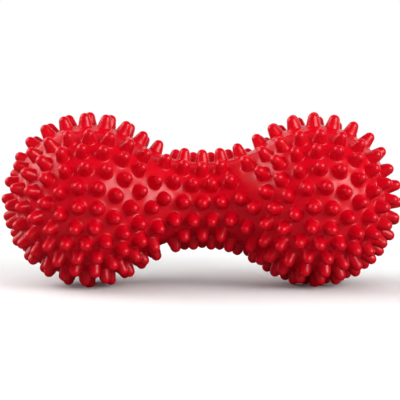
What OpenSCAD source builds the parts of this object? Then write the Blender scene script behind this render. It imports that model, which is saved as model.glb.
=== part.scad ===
// Peanut massage ball: two round lobes joined by a slim waist, moulded in one piece from soft
// plastic, with rounded nubs standing square to the skin all over. It lies along X on the
// tips of four nubs, two under each lobe, which its weight presses a little flat. The middle
// of the waist is at the origin.

/* [Body] */
// Diameter of each round lobe, without nubs
lobe_d = 60; // [54:1:68]
// Distance between the centres of the two lobes
lobe_pitch = 90; // [84:1:104]
// Diameter of the waist at its narrowest, without nubs
waist_d = 30; // [26:1:36]

/* [Nubs] */
// Height of a nub above the skin
nub_h = 5.2; // [4:0.1:6]
// Diameter of a nub's shank where it meets the skin
nub_base_d = 5.8; // [4.8:0.1:6.2]
// Diameter of a nub's rounded tip
nub_tip_d = 4.2; // [3.2:0.1:4.6]

/* [Nub layout] */
// Distance between two rings of nubs on a lobe, along the skin
ring_pitch = 7.25; // [7.2:0.05:9]
// Distance between two nubs of a ring on a lobe, along the skin
ring_nub_pitch = 7.57; // [7.4:0.01:9]
// Distance between two nubs of a row along the waist
row_nub_pitch = 7.6; // [7.2:0.1:9]
// Angle between two rows of nubs round the waist
row_angle = 25; // [24:1:30]
// Angle by which the front rows are turned off the poles of the lobes
row_turn = 3; // [-6:1:6]
// Angle by which a front row bows upwards one nub from its middle, and four times that at two
row_bow = 1.5; // [0:0.25:2]
// Number of rows of nubs on the waist's front, in the larger half of the mould
front_rows = 7; // [5:2:7]
// Distance from the middle of the waist at which the lobes' nubs begin
lobe_end = 17; // [10:1:20]
// Least distance between the centres of a lobe's nub and a waist nub
least_pitch = 6.2; // [6.2:0.1:8]

/* [Mould line] */
// Width of the fine raised line where the two mould halves met
seam_w = 0.5; // [0.3:0.1:0.8]
// Height of that line above the skin
seam_h = 0.15; // [0.1:0.05:0.3]

/* [Resting place] */
// Depth by which the tips that carry the ball are pressed flat
rest_flat = 0.25; // [0.05:0.05:0.4]

/* [Hidden] */

lobe_r = lobe_d / 2;
lobe_x = lobe_pitch / 2;
waist_r = waist_d / 2;
// The waist is a hollow arc that runs smoothly into both lobes
waist_arc_r = (pow(lobe_x, 2) + pow(waist_r, 2) - pow(lobe_r, 2)) / (2 * (lobe_r - waist_r));
waist_arc_y = waist_r + waist_arc_r;
// Share of a lobe's distance to the arc's centre at which the two curves meet
join_share = lobe_r / (lobe_r + waist_arc_r);
join_x = lobe_x * (1 - join_share);

// Rings of nubs lie round two opposite poles of each lobe, front and back. An odd number of
// steps from pole to pole leaves the front mould half one ring more than the back half.
ring_steps = 2 * round((PI * lobe_r / ring_pitch - 1) / 2) + 1;
ring_step = 180 / ring_steps;
front_rings = (ring_steps - 1) / 2;
// Angle by which each ring is turned round its pole, from the pole outwards
left_turns = [0, 2, 11, -9, 0, -1, 2];
right_turns = [0, -4, 11, -1, 0, -2, 2];
// The mould halves meet midway between the outermost rings of front and back
seam_depth = lobe_r * sin(ring_step / 2);
// The back has one row fewer on the waist, so that none stands on the mould line
back_rows = front_rows - 1;
// The ball lies on the lowest nubs of this ring and of the next one out
rest_ring = 4;
rest_roll = 90 - (rest_ring + 0.5) * ring_step;

tip_r = nub_tip_d / 2;
tip_z = nub_h - tip_r;
// Depth of the surface it lies on, below the middle of the ball
rest_depth = (lobe_r + tip_z) * cos(ring_step / 2) + tip_r - rest_flat;
nub_root = 1;
// The shank ends a little inside the ball of the tip and tapers evenly down into the body
tip_lap = 0.03;
shank_top_r = tip_r - tip_lap;
root_r = nub_base_d / 2 + (nub_base_d / 2 - shank_top_r) * nub_root / tip_z;

function ring_count(ring) = ring == 0 ? 1 : round(2 * PI * lobe_r * sin(ring * ring_step) / ring_nub_pitch);

function waist_nub(x, around) =
    let (
        lean = asin(x / waist_arc_r),
        r = waist_arc_y - waist_arc_r * cos(lean),
        out = [0, sin(around), cos(around)]
    )
    [[x, 0, 0] + r * out, [-sin(lean), 0, 0] + cos(lean) * out];

// A nub is [point on the skin, direction it stands in], with the front pole along +Z. Its place
// lies straight out from the lobe's centre, on the ball of the lobe or, past the join, on the waist.
function lobe_nub(side, polar, turn) =
    let (
        out = [sin(polar) * cos(turn), sin(polar) * sin(turn), cos(polar)],
        inward = -side * out[0],
        around = norm([out[1], out[2]])
    )
    inward < lobe_x / (lobe_r + waist_arc_r)
        ? [[side * lobe_x, 0, 0] + lobe_r * out, out]
        : let (
            half = lobe_x * inward + waist_arc_y * around,
            rest = pow(half, 2) - pow(lobe_x, 2) - pow(waist_arc_y, 2) + pow(waist_arc_r, 2),
            reach = half - sqrt(max(0, rest))
        )
        waist_nub(side * (lobe_x - reach * inward), atan2(out[1], out[2]));

function ring_nubs(side, ring, turn, back) = [
    for (i = [0 : ring_count(ring) - 1])
        lobe_nub(side, back ? 180 - ring * ring_step : ring * ring_step, turn + 360 * i / ring_count(ring))
];

function lobe_nubs(side, turns) = [
    for (back = [false, true])
        for (ring = [0 : front_rings - (back ? 1 : 0)])
            for (n = ring_nubs(side, ring, turns[ring % len(turns)], back))
                if (side * n[0][0] > lobe_end) n
];

function row_nubs(row, start, bow) =
    let (
        stagger = floor(row) % 2 == 0 ? 0.5 : 0,
        most = ceil(join_x / row_nub_pitch)
    )
    [
        for (i = [-most : most])
            let (step = i + stagger, x = step * row_nub_pitch)
                if (abs(x) <= join_x)
                    waist_nub(x, start + row * row_angle + bow * pow(step, 2))
    ];

function waist_nubs() =
    let (
        front = (front_rows - 1) / 2,
        back = (back_rows - 1) / 2
    )
    [
        for (row = [-front : front]) each row_nubs(row, row_turn, row_bow),
        for (row = [-back : back]) each row_nubs(row, 180, 0)
    ];

function gap_to(point, nubs) = min([for (n = nubs) norm(n[0] - point)]);

on_lobes = concat(lobe_nubs(-1, left_turns), lobe_nubs(1, right_turns));
on_waist = [for (n = waist_nubs()) if (gap_to(n[0], on_lobes) >= least_pitch) n];

// Half outline of the body, with the radius along X and the long axis along Y
module outline(grow) {
    share = (lobe_r + grow) / (lobe_r + waist_arc_r);
    intersection() {
        union() {
            for (side = [-1, 1])
                translate([0, side * lobe_x])
                    circle(r = lobe_r + grow);
            difference() {
                translate([0, -lobe_x * (1 - share)])
                    square([waist_arc_y * share, 2 * lobe_x * (1 - share)]);
                translate([waist_arc_y, 0])
                    circle(r = waist_arc_r - grow);
            }
        }
        translate([0, -lobe_pitch])
            square([lobe_pitch, 2 * lobe_pitch]);
    }
}

module skin(grow = 0) {
    rotate([90, 0, 90])
        rotate_extrude($fn = 180)
            outline(grow, $fn = 180);
}

// A nub stands along +Z on the level of the skin: a tapering shank, rooted in the body, and a ball tip
module nub() {
    translate([0, 0, -nub_root])
        cylinder(r1 = root_r, r2 = shank_top_r, h = nub_root + tip_z, $fn = 32);
    translate([0, 0, tip_z])
        sphere(r = tip_r, $fn = 32);
}

module stand(n) {
    polar = acos(n[1][2]);
    turn = atan2(n[1][1], n[1][0]);
    translate(n[0])
        rotate([0, polar, turn])
            children();
}

module mould_line() {
    intersection() {
        skin(seam_h);
        translate([0, 0, -seam_depth])
            cube([2 * lobe_pitch, lobe_pitch, seam_w], center = true);
    }
}

module ground() {
    translate([0, 0, -rest_depth - lobe_r])
        cube([2 * lobe_pitch, lobe_d, lobe_d], center = true);
}

module peanut_ball() {
    color("#cd0514")
        difference() {
            rotate([90 + rest_roll, 0, 0]) {
                skin();
                mould_line();
                for (n = concat(on_lobes, on_waist))
                    stand(n) nub();
            }
            ground();
        }
}

peanut_ball();
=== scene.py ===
import math

import bpy
import numpy as np
from mathutils import Matrix, Vector
from mathutils.geometry import delaunay_2d_cdt


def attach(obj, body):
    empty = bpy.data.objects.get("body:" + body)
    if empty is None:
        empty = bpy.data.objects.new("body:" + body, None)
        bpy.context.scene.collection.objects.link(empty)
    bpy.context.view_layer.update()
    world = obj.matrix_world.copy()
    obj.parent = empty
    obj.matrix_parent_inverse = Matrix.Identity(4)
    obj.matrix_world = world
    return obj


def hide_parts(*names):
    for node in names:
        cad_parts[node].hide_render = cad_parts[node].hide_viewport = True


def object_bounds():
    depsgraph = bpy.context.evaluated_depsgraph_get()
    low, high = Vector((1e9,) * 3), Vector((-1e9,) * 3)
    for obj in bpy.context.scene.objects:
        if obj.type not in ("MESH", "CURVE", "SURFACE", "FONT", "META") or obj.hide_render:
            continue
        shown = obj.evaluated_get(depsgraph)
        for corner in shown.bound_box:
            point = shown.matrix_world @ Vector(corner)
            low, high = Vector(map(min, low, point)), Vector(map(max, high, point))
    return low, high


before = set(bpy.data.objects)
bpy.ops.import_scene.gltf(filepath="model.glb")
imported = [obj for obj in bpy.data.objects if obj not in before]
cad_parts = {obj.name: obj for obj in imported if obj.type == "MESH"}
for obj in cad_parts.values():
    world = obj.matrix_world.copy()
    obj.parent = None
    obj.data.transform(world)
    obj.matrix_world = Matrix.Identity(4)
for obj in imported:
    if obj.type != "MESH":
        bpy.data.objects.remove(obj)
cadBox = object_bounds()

mm = 0.001  # the sizes below are written in millimetres

# The ball is laid out with its mould's front pole along +Z and is rolled into its rest at the end

skin = {  # the smooth body between the nubs
    "lobeD": 60 * mm,
    "lobePitch": 90 * mm,
    "waistD": 30 * mm,
    "pointGap": 1.8 * mm,  # spacing of the mesh on bare skin
    "footClear": 0.45,  # least share of that spacing between a point and a nub's foot
    "seamClear": 0.5,  # and between a point and the mould line
}
lobeR = skin["lobeD"] / 2
lobeX = skin["lobePitch"] / 2
waistR = skin["waistD"] / 2
arcR = (lobeX ** 2 + waistR ** 2 - lobeR ** 2) / (2 * (lobeR - waistR))  # hollow arc of the waist
arcY = waistR + arcR
joinX = lobeX * (1 - lobeR / (lobeR + arcR))  # where the arc runs into the lobe
joinPolar = math.acos(lobeX / (lobeR + arcR))  # the same place, as an angle at the lobe's centre
arcLength = arcR * math.asin(joinX / arcR)  # along the outline, from the middle of the waist
outlineLength = arcLength + lobeR * (math.pi - joinPolar)


def outlinePoint(s):
    # a point of the half outline, s along it from the middle of the waist
    if s < arcLength:
        return arcR * math.sin(s / arcR), arcY - arcR * math.cos(s / arcR)
    polar = joinPolar + (s - arcLength) / lobeR
    return lobeX - lobeR * math.cos(polar), lobeR * math.sin(polar)


def skinGap(points):
    # how far points are off the skin, outwards
    x = np.abs(points[..., 0])
    r = np.hypot(points[..., 1], points[..., 2])
    onLobe = x / lobeX + r / arcY > 1
    return np.where(onLobe, np.hypot(x - lobeX, r) - lobeR, arcR - np.hypot(x, arcY - r))


def skinNormal(points):
    x = points[..., 0]
    r = np.hypot(points[..., 1], points[..., 2])
    onLobe = np.abs(x) / lobeX + r / arcY > 1
    along = np.where(onLobe, x - np.sign(x) * lobeX, -x)
    across = np.where(onLobe, r, arcY - r)
    safe = np.maximum(r, 1e-9)  # r is 0 at the two ends
    around = [across * points[..., k] / safe for k in (1, 2)]
    normal = np.stack([along, *around], axis=-1)
    return normal / np.linalg.norm(normal, axis=-1, keepdims=True)


def dropToSkin(points, axis):
    for step in range(8):  # settles well under a micron
        points = points - skinGap(points)[..., None] * axis
    return points


def arcTravel(x):
    # length of the waist's arc up to x, with each bit divided by its distance from the axis
    lean = np.arcsin(np.clip(x / arcR, -1, 1))
    root = math.sqrt(arcY ** 2 - arcR ** 2)
    return 2 * arcR / root * np.arctan(math.sqrt((arcY + arcR) / (arcY - arcR)) * np.tan(lean / 2))


def flatPlace(points):
    # where points of the skin lie on a plane, by a map that keeps angles
    x = np.abs(points[:, 0])
    r = np.hypot(points[:, 1], points[:, 2])
    polar = np.arctan2(r, lobeX - x)
    lobeTravel = arcTravel(joinX) + np.log(np.tan(polar / 2) / math.tan(joinPolar / 2))
    travel = np.sign(points[:, 0]) * np.where(x > joinX, lobeTravel, arcTravel(x))
    return np.exp(travel - 1j * np.arctan2(points[:, 2], points[:, 1]))


def sinDeg(angle):
    return math.sin(math.radians(angle))


def cosDeg(angle):
    return math.cos(math.radians(angle))


layout = {
    "ringPitch": 7.25 * mm,  # from ring to ring on a lobe
    "ringNubPitch": 7.57 * mm,  # from nub to nub of a ring
    "rowNubPitch": 7.6 * mm,  # from nub to nub of a row along the waist
    "rowAngle": 25,  # degrees round the waist from row to row
    "rowTurn": 3,  # by which the front rows are turned off the lobes' poles
    "rowBow": 1.5,  # the front rows rise by this much one nub from their middle
    "frontRows": 7,  # the back has one row fewer
    "lobeEnd": 17 * mm,  # from the middle of the waist to where the lobes' nubs begin
    "leastPitch": 6.2 * mm,  # a waist nub that is nearer to a lobe's nub is left out
    "leftTurns": [0, 2, 11, -9, 0, -1, 2],  # degrees for each ring, from the pole outwards
    "rightTurns": [0, -4, 11, -1, 0, -2, 2],
}
ringSteps = 2 * round((math.pi * lobeR / layout["ringPitch"] - 1) / 2) + 1
ringStep = 180 / ringSteps
frontRings = (ringSteps - 1) // 2


def waistNub(x, around):
    # a nub is a point on the skin and the direction in which it stands
    lean = math.asin(x / arcR)
    r = arcY - arcR * math.cos(lean)
    out = np.array([0, sinDeg(around), cosDeg(around)])
    point = np.array([x, 0, 0]) + r * out
    return point, np.array([-math.sin(lean), 0, 0]) + math.cos(lean) * out


def lobeNub(side, polar, turn):
    # it lies straight out from the lobe's centre, on the lobe or, past the join, on the waist
    out = np.array([sinDeg(polar) * cosDeg(turn), sinDeg(polar) * sinDeg(turn), cosDeg(polar)])
    inward = -side * out[0]
    if inward < lobeX / (lobeR + arcR):
        return np.array([side * lobeX, 0, 0]) + lobeR * out, out
    half = lobeX * inward + arcY * math.hypot(out[1], out[2])
    reach = half - math.sqrt(max(0, half ** 2 - lobeX ** 2 - arcY ** 2 + arcR ** 2))
    return waistNub(side * (lobeX - reach * inward), math.degrees(math.atan2(out[1], out[2])))


def lobeNubs(side, turns):
    found = []
    for back in (False, True):
        for ring in range(frontRings + (0 if back else 1)):
            polar = ring * ringStep
            count = max(1, round(2 * math.pi * lobeR * sinDeg(polar) / layout["ringNubPitch"]))
            for i in range(count):
                turn = turns[ring] + 360 * i / count
                point, out = lobeNub(side, 180 - polar if back else polar, turn)
                if side * point[0] > layout["lobeEnd"]:
                    found.append((point, out))
    return found


def waistNubs():
    found = []
    reach = math.ceil(joinX / layout["rowNubPitch"])
    front = layout["frontRows"]
    # front and back: the angle of the middle row, how many rows and how much they bow
    halves = ((layout["rowTurn"], front, layout["rowBow"]), (180, front - 1, 0))
    for start, count, bow in halves:
        for k in range(count):
            row = k - (count - 1) / 2
            for i in range(-reach, reach + 1):
                step = i + (0.5 if math.floor(row) % 2 == 0 else 0)
                x = step * layout["rowNubPitch"]
                if abs(x) <= joinX:
                    found.append(waistNub(x, start + row * layout["rowAngle"] + bow * step ** 2))
    return found


def allNubs():
    onLobes = lobeNubs(-1, layout["leftTurns"]) + lobeNubs(1, layout["rightTurns"])
    taken = np.array([point for point, out in onLobes])
    clear = layout["leastPitch"]
    onWaist = [n for n in waistNubs() if np.linalg.norm(taken - n[0], axis=1).min() >= clear]
    nubs = onLobes + onWaist
    return np.array([n[0] for n in nubs]), np.array([n[1] for n in nubs])


nub = {
    "height": 5.2 * mm,
    "baseD": 5.8 * mm,
    "tipD": 4.2 * mm,
    "footD": 6.8 * mm,  # outer edge of the small hollow round the foot
    "footGap": 0.24 * mm,  # least skin left between the feet of two neighbours
    "sides": 22,  # points in each of its rings
    "filletSteps": 3,  # rings up the hollow
    "shankSteps": 2,  # up the shank
    "tipSteps": 5,  # and over the tip
}
tipZ = nub["height"] - nub["tipD"] / 2  # centre of the ball tip, above the skin


def nubRings(footR):
    # radius and height of each ring of a nub, from its foot up, and how much it follows the skin
    baseR = nub["baseD"] / 2
    tipR = nub["tipD"] / 2
    taper = math.acos(tipR / math.hypot(baseR, tipZ)) - math.atan2(tipZ, baseR)
    filletR = (footR - baseR) / math.tan(math.pi / 4 - taper / 2)
    rings = []
    for i in range(nub["filletSteps"] + 1):
        bend = (math.pi / 2 - taper) * i / nub["filletSteps"]
        rings.append((footR - filletR * math.sin(bend), filletR * (1 - math.cos(bend))))
    low = rings[-1]
    top = (tipR * math.cos(taper), tipZ + tipR * math.sin(taper))
    for i in range(1, nub["shankSteps"] + 1):
        share = i / nub["shankSteps"]
        rings.append((low[0] + share * (top[0] - low[0]), low[1] + share * (top[1] - low[1])))
    for i in range(1, nub["tipSteps"]):
        lift = taper + (math.pi / 2 - taper) * i / nub["tipSteps"]
        rings.append((tipR * math.cos(lift), tipZ + tipR * math.sin(lift)))
    return [(r, z, max(0, 1 - z / top[1])) for r, z in rings]


def crossAxes(out):
    side = np.cross([1.0, 0, 0], out)
    if np.linalg.norm(side) < 0.1:  # out runs nearly along the ball
        side = np.cross([0, 1.0, 0], out)
    side = side / np.linalg.norm(side)
    return side, np.cross(out, side)


def nubMeshes(bases, outs, feet):
    # all nubs as rings of points from foot to tip, the faces between them, and each foot's own ring
    sides = nub["sides"]
    turns = 2 * math.pi * np.arange(sides) / sides
    places, faces, footRings = [], [], []
    for base, out, footR in zip(bases, outs, feet):
        start = len(places)
        across, along = crossAxes(out)
        spokes = np.cos(turns)[:, None] * across + np.sin(turns)[:, None] * along
        rings = nubRings(footR)
        for r, z, follow in rings:
            flat = base + r * spokes
            onSkin = dropToSkin(flat, out)
            places.extend(flat + follow * (onSkin - flat) + z * out)
        tip = len(places)
        places.append(base + nub["height"] * out)
        for k in range(len(rings) - 1):
            low, high = start + k * sides, start + (k + 1) * sides
            for i in range(sides):
                j = (i + 1) % sides
                faces.append((low + i, low + j, high + j, high + i))
        last = start + (len(rings) - 1) * sides
        faces.extend((last + i, last + (i + 1) % sides, tip) for i in range(sides))
        footRings.append(list(range(start, start + sides)))
    return places, faces, footRings


seam = {  # the fine raised line where the mould halves met
    "depth": lobeR * sinDeg(ringStep / 2),  # behind the middle, midway between two rings
    "width": 0.7 * mm,  # with its sloping sides
    "crest": 0.24 * mm,
    "height": 0.15 * mm,
    "pointGap": 1.0 * mm,
    "footClear": 0.12 * mm,  # least distance between one of its points and a nub's foot
    "samples": 4001,  # by which its length round the ball is measured
}


def skinPoints(bases, feet):
    # an even scatter of points on bare skin, in rings along the ball
    gap = skin["pointGap"]
    count = round(outlineLength / gap)
    points = []
    for side in (-1, 1):
        for k in range(0 if side > 0 else 1, count):
            x, r = outlinePoint(k * outlineLength / count)
            around = max(1, round(2 * math.pi * r / gap))
            for i in range(around):
                turn = 2 * math.pi * (i + 0.5 * (k % 2)) / around
                points.append((side * x, r * math.cos(turn), r * math.sin(turn)))
    points = np.array(points)
    away = np.linalg.norm(points[:, None, :] - bases[None, :, :], axis=2)
    bare = (away > feet[None, :] + skin["footClear"] * gap).all(axis=1)
    offSeam = np.abs(points[:, 2] + seam["depth"]) > seam["width"] / 2 + skin["seamClear"] * gap
    return points[bare & offSeam]


def seamPath(depth):
    # points round the ball where a plane at this depth behind the middle cuts the skin
    quarter = [outlinePoint(s) for s in np.linspace(0, outlineLength, seam["samples"])]
    quarter = np.array([(x, math.sqrt(r * r - depth * depth)) for x, r in quarter if r > depth])
    half = np.concatenate([quarter[::-1] * (-1, 1), quarter[1:]])
    loop = np.concatenate([half, half[::-1] * (1, -1), half[:1]])
    run = np.concatenate([[0], np.cumsum(np.linalg.norm(np.diff(loop, axis=0), axis=1))])
    stops = np.linspace(0, run[-1], round(run[-1] / seam["pointGap"]), endpoint=False)
    x, y = np.interp(stops, run, loop[:, 0]), np.interp(stops, run, loop[:, 1])
    return np.stack([x, y, np.full(len(stops), -depth)], axis=1)


def seamPoints(bases, feet):
    # four rows side by side, the inner two raised; none lies inside a nub's foot
    middle = seamPath(seam["depth"])
    low, high = [], []
    for shift, rise in ((-0.5, 0), (-0.5, 1), (0.5, 1), (0.5, 0)):
        width = seam["crest"] if rise else seam["width"]
        row = dropToSkin(middle + (0, 0, shift * width), skinNormal(middle))
        low.append(row)
        high.append(row + rise * seam["height"] * skinNormal(row))
    low, high = np.concatenate(low), np.concatenate(high)
    away = np.linalg.norm(low[:, None, :] - bases[None, :, :], axis=2)
    bare = (away > feet[None, :] + seam["footClear"]).all(axis=1)
    return low[bare], high[bare]


def skinFaces(ground, index, footRings, middle):
    # flattened from the middle of one nub, the whole skin lies inside that nub's foot,
    # where it is filled with triangles; those inside a foot are left out
    plan = 1 / (flatPlace(ground) - flatPlace(middle))
    corners = [Vector((w.real, w.imag)) for w in plan]
    sides = nub["sides"]
    edges = []
    for n in range(len(footRings)):
        edges.extend((n * sides + i, n * sides + (i + 1) % sides) for i in range(sides))
    # found[2] is the triangles, found[3] the given points that each of their corners came from
    found = delaunay_2d_cdt(corners, edges, [], 0, 0, True)
    source = [index[own[0]] for own in found[3]]
    owner = {i: n for n, ring in enumerate(footRings) for i in ring}
    faces = []
    for face in found[2]:
        corner = [source[v] for v in face]
        if len({owner.get(c, -1 - c) for c in corner}) > 1:
            faces.append(tuple(corner))
    return faces


rest = {  # the ball lies on the tips of this ring and of the next one out
    "ring": 4,
    "flat": 0.25 * mm,  # how far its weight presses those tips in
}
restRoll = 90 - (rest["ring"] + 0.5) * ringStep
restDepth = (lobeR + tipZ) * cosDeg(ringStep / 2) + nub["tipD"] / 2 - rest["flat"]


def buildBall():
    bases, outs = allNubs()
    spread = np.linalg.norm(bases[:, None, :] - bases[None, :, :], axis=2)
    np.fill_diagonal(spread, 1)  # a metre, as no nub is its own neighbour
    feet = np.minimum(nub["footD"] / 2, (spread.min(axis=1) - nub["footGap"]) / 2)
    print(len(bases), "nubs, the nearest two", round(spread.min() / mm, 2), "mm apart")

    places, faces, footRings = nubMeshes(bases, outs, feet)
    loose = skinPoints(bases, feet)
    seamLow, seamHigh = seamPoints(bases, feet)
    # ground is every point of the bare skin, index its number among all places
    index = [i for ring in footRings for i in ring]
    ground = np.concatenate([np.array([places[i] for i in index]), loose, seamLow])
    index.extend(range(len(places), len(places) + len(loose) + len(seamLow)))
    places.extend(loose)
    places.extend(seamHigh)
    nearest = int(np.argmin(np.abs(bases[:, 0])))  # the nub nearest the middle of the waist
    faces.extend(skinFaces(ground, index, footRings, bases[nearest:nearest + 1]))
    print(len(places), "points,", len(faces), "faces")

    mesh = bpy.data.meshes.new("nubbedBall")
    mesh.from_pydata([tuple(p) for p in places], [], faces)
    mesh.update()
    mesh.transform(Matrix.Rotation(math.radians(90 + restRoll), 4, "X"))
    for point in mesh.vertices:
        point.co.z = max(point.co.z, -restDepth)
    mesh.polygons.foreach_set("use_smooth", [True] * len(mesh.polygons))
    ball = bpy.data.objects.new("nubbedBall", mesh)
    bpy.context.scene.collection.objects.link(ball)
    return ball


def linear(hexColour):
    # sRGB hex to linear light
    parts = [int(hexColour[i:i + 2], 16) / 255 for i in (1, 3, 5)]
    return [c / 12.92 if c <= 0.04045 else ((c + 0.055) / 1.055) ** 2.4 for c in parts] + [1]


def addNode(tree, kind, settings=None, links=None):
    # one node, with its settings and its links, each by the name or the number of the socket
    node = tree.nodes.new(kind)
    for name, value in (settings or {}).items():
        if isinstance(name, str) and hasattr(node, name):
            setattr(node, name, value)
        else:
            node.inputs[name].default_value = value
    for name, source in (links or {}).items():
        tree.links.new(source, node.inputs[name])
    return node


softPvc = {
    "colour": "#cd0119",
    "deepColour": "#bd0016",
    "roughness": 0.32,
    "roughnessSpread": 0.05,
    "ior": 1.53,
    "gloss": 0.36,  # a dull skin reflects a little less than clean PVC, which is 0.5
    "grain": 0.35 * mm,  # the mould's grain is nearer 0.1 mm, and is drawn coarser so that it shows
    "grainDetail": 3.0,
    "grainDepth": 0.05 * mm,
    "grainStrength": 0.12,
    "swell": 9 * mm,  # slow unevenness of a soft wall
    "swellDetail": 2.0,
    "swellDepth": 0.4 * mm,
    "swellStrength": 0.25,
    "lightIn": 0.2,  # share of the light that gets into the plastic
    "lightReach": 1.0 * mm,
    "reachByColour": (1.0, 0.1, 0.1),  # red goes furthest
}


def softPvcMaterial():
    # soft PVC, rotation moulded: a saturated red into which a little light gets,
    # and a semi-gloss that the mould's fine grain spreads into soft patches
    material = bpy.data.materials.new("softPvcMoulded")
    material.use_nodes = True
    tree = material.node_tree
    tree.nodes.clear()
    place = addNode(tree, "ShaderNodeTexCoord").outputs["Object"]
    swell = addNode(tree, "ShaderNodeTexNoise", {
        "Scale": 1 / softPvc["swell"], "Detail": softPvc["swellDetail"],
    }, {"Vector": place}).outputs["Fac"]
    grain = addNode(tree, "ShaderNodeTexNoise", {
        "Scale": 1 / softPvc["grain"], "Detail": softPvc["grainDetail"],
    }, {"Vector": place}).outputs["Fac"]
    tint = addNode(tree, "ShaderNodeMix", {
        "data_type": "RGBA", 6: linear(softPvc["deepColour"]), 7: linear(softPvc["colour"]),
    }, {0: swell})
    rough = addNode(tree, "ShaderNodeMapRange", {
        "To Min": softPvc["roughness"] - softPvc["roughnessSpread"],
        "To Max": softPvc["roughness"] + softPvc["roughnessSpread"],
    }, {"Value": grain})
    wave = addNode(tree, "ShaderNodeBump", {
        "Strength": softPvc["swellStrength"], "Distance": softPvc["swellDepth"],
    }, {"Height": swell})
    bump = addNode(tree, "ShaderNodeBump", {
        "Strength": softPvc["grainStrength"], "Distance": softPvc["grainDepth"],
    }, {"Height": grain, "Normal": wave.outputs["Normal"]})
    shader = addNode(tree, "ShaderNodeBsdfPrincipled", {
        "IOR": softPvc["ior"],
        "Specular IOR Level": softPvc["gloss"],
        "Subsurface Weight": softPvc["lightIn"],
        "Subsurface Radius": softPvc["reachByColour"],
        "Subsurface Scale": softPvc["lightReach"],
    }, {
        "Base Color": tint.outputs[2],
        "Roughness": rough.outputs["Result"],
        "Normal": bump.outputs["Normal"],
    })
    addNode(tree, "ShaderNodeOutputMaterial", None, {"Surface": shader.outputs["BSDF"]})
    return material


studio = {
    "worldLevel": 0.06,  # faint light from all round
    "roomLevel": 0.03,  # what gloss shows of the room on the camera's side
    "paperWay": (0, 0.87, -0.5),  # the white paper stands behind the ball, low down
    "paperFrom": 0.0,  # where it starts and is full, as the share of the way to its middle
    "paperFull": 0.8,
    "floorSize": 6.0,
    "floorFade": (0.1, 0.32),  # how far from the ball it starts to turn plain white, and is
    "floorColour": "#ececec",  # pale paper, which comes out white in this light
    "floorBounce": "#9c9c9c",  # as it lights the ball from below
    "floorDark": "#202020",  # as gloss shows it on the camera's side
}


def rayKinds(tree):
    # the camera's own rays, and those by which gloss and glass show the background
    ray = addNode(tree, "ShaderNodeLightPath").outputs
    clear = addNode(tree, "ShaderNodeMath", {"operation": "MAXIMUM"}, {
        0: ray["Is Glossy Ray"], 1: ray["Is Transmission Ray"],
    })
    return ray["Is Camera Ray"], clear.outputs[0]


def setWorld():
    # white for the camera, white paper behind the ball for gloss and glass, a dim room for the rest
    world = bpy.data.worlds.new("studio")
    bpy.context.scene.world = world
    world.use_nodes = True
    tree = world.node_tree
    tree.nodes.clear()
    seen, clear = rayKinds(tree)
    way = addNode(tree, "ShaderNodeTexCoord").outputs["Generated"]
    behind = addNode(tree, "ShaderNodeVectorMath", {
        "operation": "DOT_PRODUCT", 1: studio["paperWay"],
    }, {0: way}).outputs["Value"]
    paper = addNode(tree, "ShaderNodeMapRange", {
        "From Min": studio["paperFrom"], "From Max": studio["paperFull"],
        "To Min": studio["roomLevel"], "interpolation_type": "SMOOTHSTEP",
    }, {"Value": behind})
    plain = addNode(tree, "ShaderNodeMix", {2: studio["worldLevel"]}, {
        0: clear, 3: paper.outputs[0],
    })
    level = addNode(tree, "ShaderNodeMath", {"operation": "MAXIMUM"}, {
        0: plain.outputs[0], 1: seen,
    })
    glow = addNode(tree, "ShaderNodeBackground", {"Color": (1, 1, 1, 1)}, {
        "Strength": level.outputs[0],
    })
    addNode(tree, "ShaderNodeOutputWorld", None, {"Surface": glow.outputs["Background"]})


def addFloor():
    # matt paper that takes the ball's soft shadow and runs out into the white behind
    size = studio["floorSize"] / 2
    z = cadBox[0][2]
    mesh = bpy.data.meshes.new("floor")
    corners = [(-size, -size, z), (size, -size, z), (size, size, z), (-size, size, z)]
    mesh.from_pydata(corners, [], [(0, 1, 2, 3)])
    floor = bpy.data.objects.new("floor", mesh)
    bpy.context.scene.collection.objects.link(floor)
    material = bpy.data.materials.new("floorPaper")
    material.use_nodes = True
    tree = material.node_tree
    tree.nodes.clear()
    seen, clear = rayKinds(tree)
    place = addNode(tree, "ShaderNodeTexCoord").outputs["Object"]
    away = addNode(tree, "ShaderNodeVectorMath", {"operation": "LENGTH"}, {"Vector": place})
    near, far = studio["floorFade"]
    fade = addNode(tree, "ShaderNodeMapRange", {
        "From Min": near, "From Max": far, "interpolation_type": "SMOOTHSTEP",
    }, {"Value": away.outputs["Value"]})
    behind = addNode(tree, "ShaderNodeSeparateXYZ", None, {0: place}).outputs["Y"]
    back = addNode(tree, "ShaderNodeMapRange", {
        "From Min": near, "From Max": far, "interpolation_type": "SMOOTHSTEP",
    }, {"Value": behind})
    clearWhite = addNode(tree, "ShaderNodeMath", {"operation": "MULTIPLY"}, {
        0: back.outputs[0], 1: clear,
    })
    seenWhite = addNode(tree, "ShaderNodeMath", {"operation": "MULTIPLY"}, {
        0: fade.outputs[0], 1: seen,
    })
    share = addNode(tree, "ShaderNodeMath", {"operation": "MAXIMUM"}, {
        0: clearWhite.outputs[0], 1: seenWhite.outputs[0],
    })
    tone = addNode(tree, "ShaderNodeMix", {
        "data_type": "RGBA", 6: linear(studio["floorBounce"]), 7: linear(studio["floorColour"]),
    }, {0: seen})
    shade = addNode(tree, "ShaderNodeMix", {"data_type": "RGBA", 7: linear(studio["floorDark"])}, {
        0: clear, 6: tone.outputs[2],
    })
    paper = addNode(tree, "ShaderNodeBsdfDiffuse", None, {"Color": shade.outputs[2]})
    white = addNode(tree, "ShaderNodeEmission", {"Color": (1, 1, 1, 1), "Strength": 1.0})
    mix = addNode(tree, "ShaderNodeMixShader", None, {
        0: share.outputs[0], 1: paper.outputs[0], 2: white.outputs[0],
    })
    addNode(tree, "ShaderNodeOutputMaterial", None, {"Surface": mix.outputs[0]})
    floor.data.materials.append(material)


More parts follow.
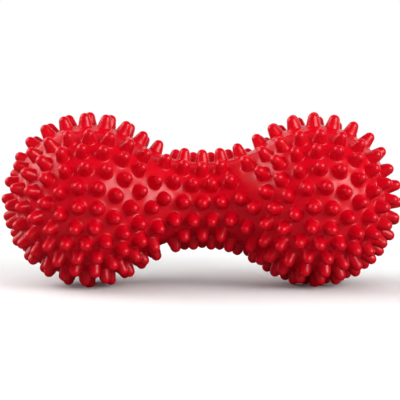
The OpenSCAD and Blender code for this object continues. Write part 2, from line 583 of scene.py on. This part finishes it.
softboxes = {  # where each stands, in degrees from behind the ball towards its right, and how high
    "right": {"turn": 130, "rise": 22, "away": 1.0, "size": (0.62, 0.5), "glow": 8.2},
    "left": {"turn": -80, "rise": 33, "away": 1.0, "size": (0.9, 0.7), "glow": 3.8},
}
fills = {  # soft light from all over one side, which leaves no mark in the gloss
    "ceiling": {"level": 0.64, "spread": 160, "way": (-0.5, -0.2, 1.0)},
    "front": {"level": 0.43, "spread": 100, "way": (0.0, -1.0, 0.1)},
}


def skyWay(turn, rise):
    # the way to a lamp or to the camera, for those degrees round the ball and above the floor
    turn, rise = math.radians(turn), math.radians(rise)
    flat = math.cos(rise)
    return Vector((math.sin(turn) * flat, math.cos(turn) * flat, math.sin(rise)))


def addLamp(light, way, away=1.0):
    lamp = bpy.data.objects.new(light.name, light)
    lamp.location = away * way
    lamp.rotation_euler = way.to_track_quat("Z", "Y").to_euler()
    bpy.context.scene.collection.objects.link(lamp)
    return lamp


def addLights():
    for name, box in softboxes.items():
        light = bpy.data.lights.new(name + "Softbox", "AREA")
        light.shape = "RECTANGLE"
        light.size, light.size_y = box["size"]
        light.energy = box["glow"] * math.pi * light.size * light.size_y
        addLamp(light, skyWay(box["turn"], box["rise"]), box["away"])
    for name, fill in fills.items():
        light = bpy.data.lights.new(name + "Fill", "SUN")
        light.energy = fill["level"] * math.pi
        light.angle = math.radians(fill["spread"])
        light.cycles.use_multiple_importance_sampling = False
        addLamp(light, Vector(fill["way"]).normalized()).visible_glossy = False


camera = {
    "yaw": 0.71,  # degrees round the ball, from straight in front towards its left end
    "rise": 5.25,
    "distance": 0.654,
    "sensor": 36,  # its width, in millimetres as the lens is
    "lens": 146.8,
    "aim": (-0.86 * mm, 0, -0.16 * mm),
}


def addCamera():
    data = bpy.data.cameras.new("camera")
    data.sensor_width = camera["sensor"]
    data.lens = camera["lens"]
    shot = bpy.data.objects.new("camera", data)
    shot.location = camera["distance"] * skyWay(180 + camera["yaw"], camera["rise"])
    sight = Vector(camera["aim"]) - shot.location
    shot.rotation_euler = sight.to_track_quat("-Z", "Y").to_euler()
    bpy.context.scene.collection.objects.link(shot)
    bpy.context.scene.camera = shot


print("building the ball")
ball = buildBall()
print("colouring it")
ball.data.materials.append(softPvcMaterial())
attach(ball, "root")
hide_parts("peanut_ball")

print("setting the studio")
setWorld()
addFloor()
addLights()
addCamera()
bpy.context.scene.view_settings.view_transform = "Standard"
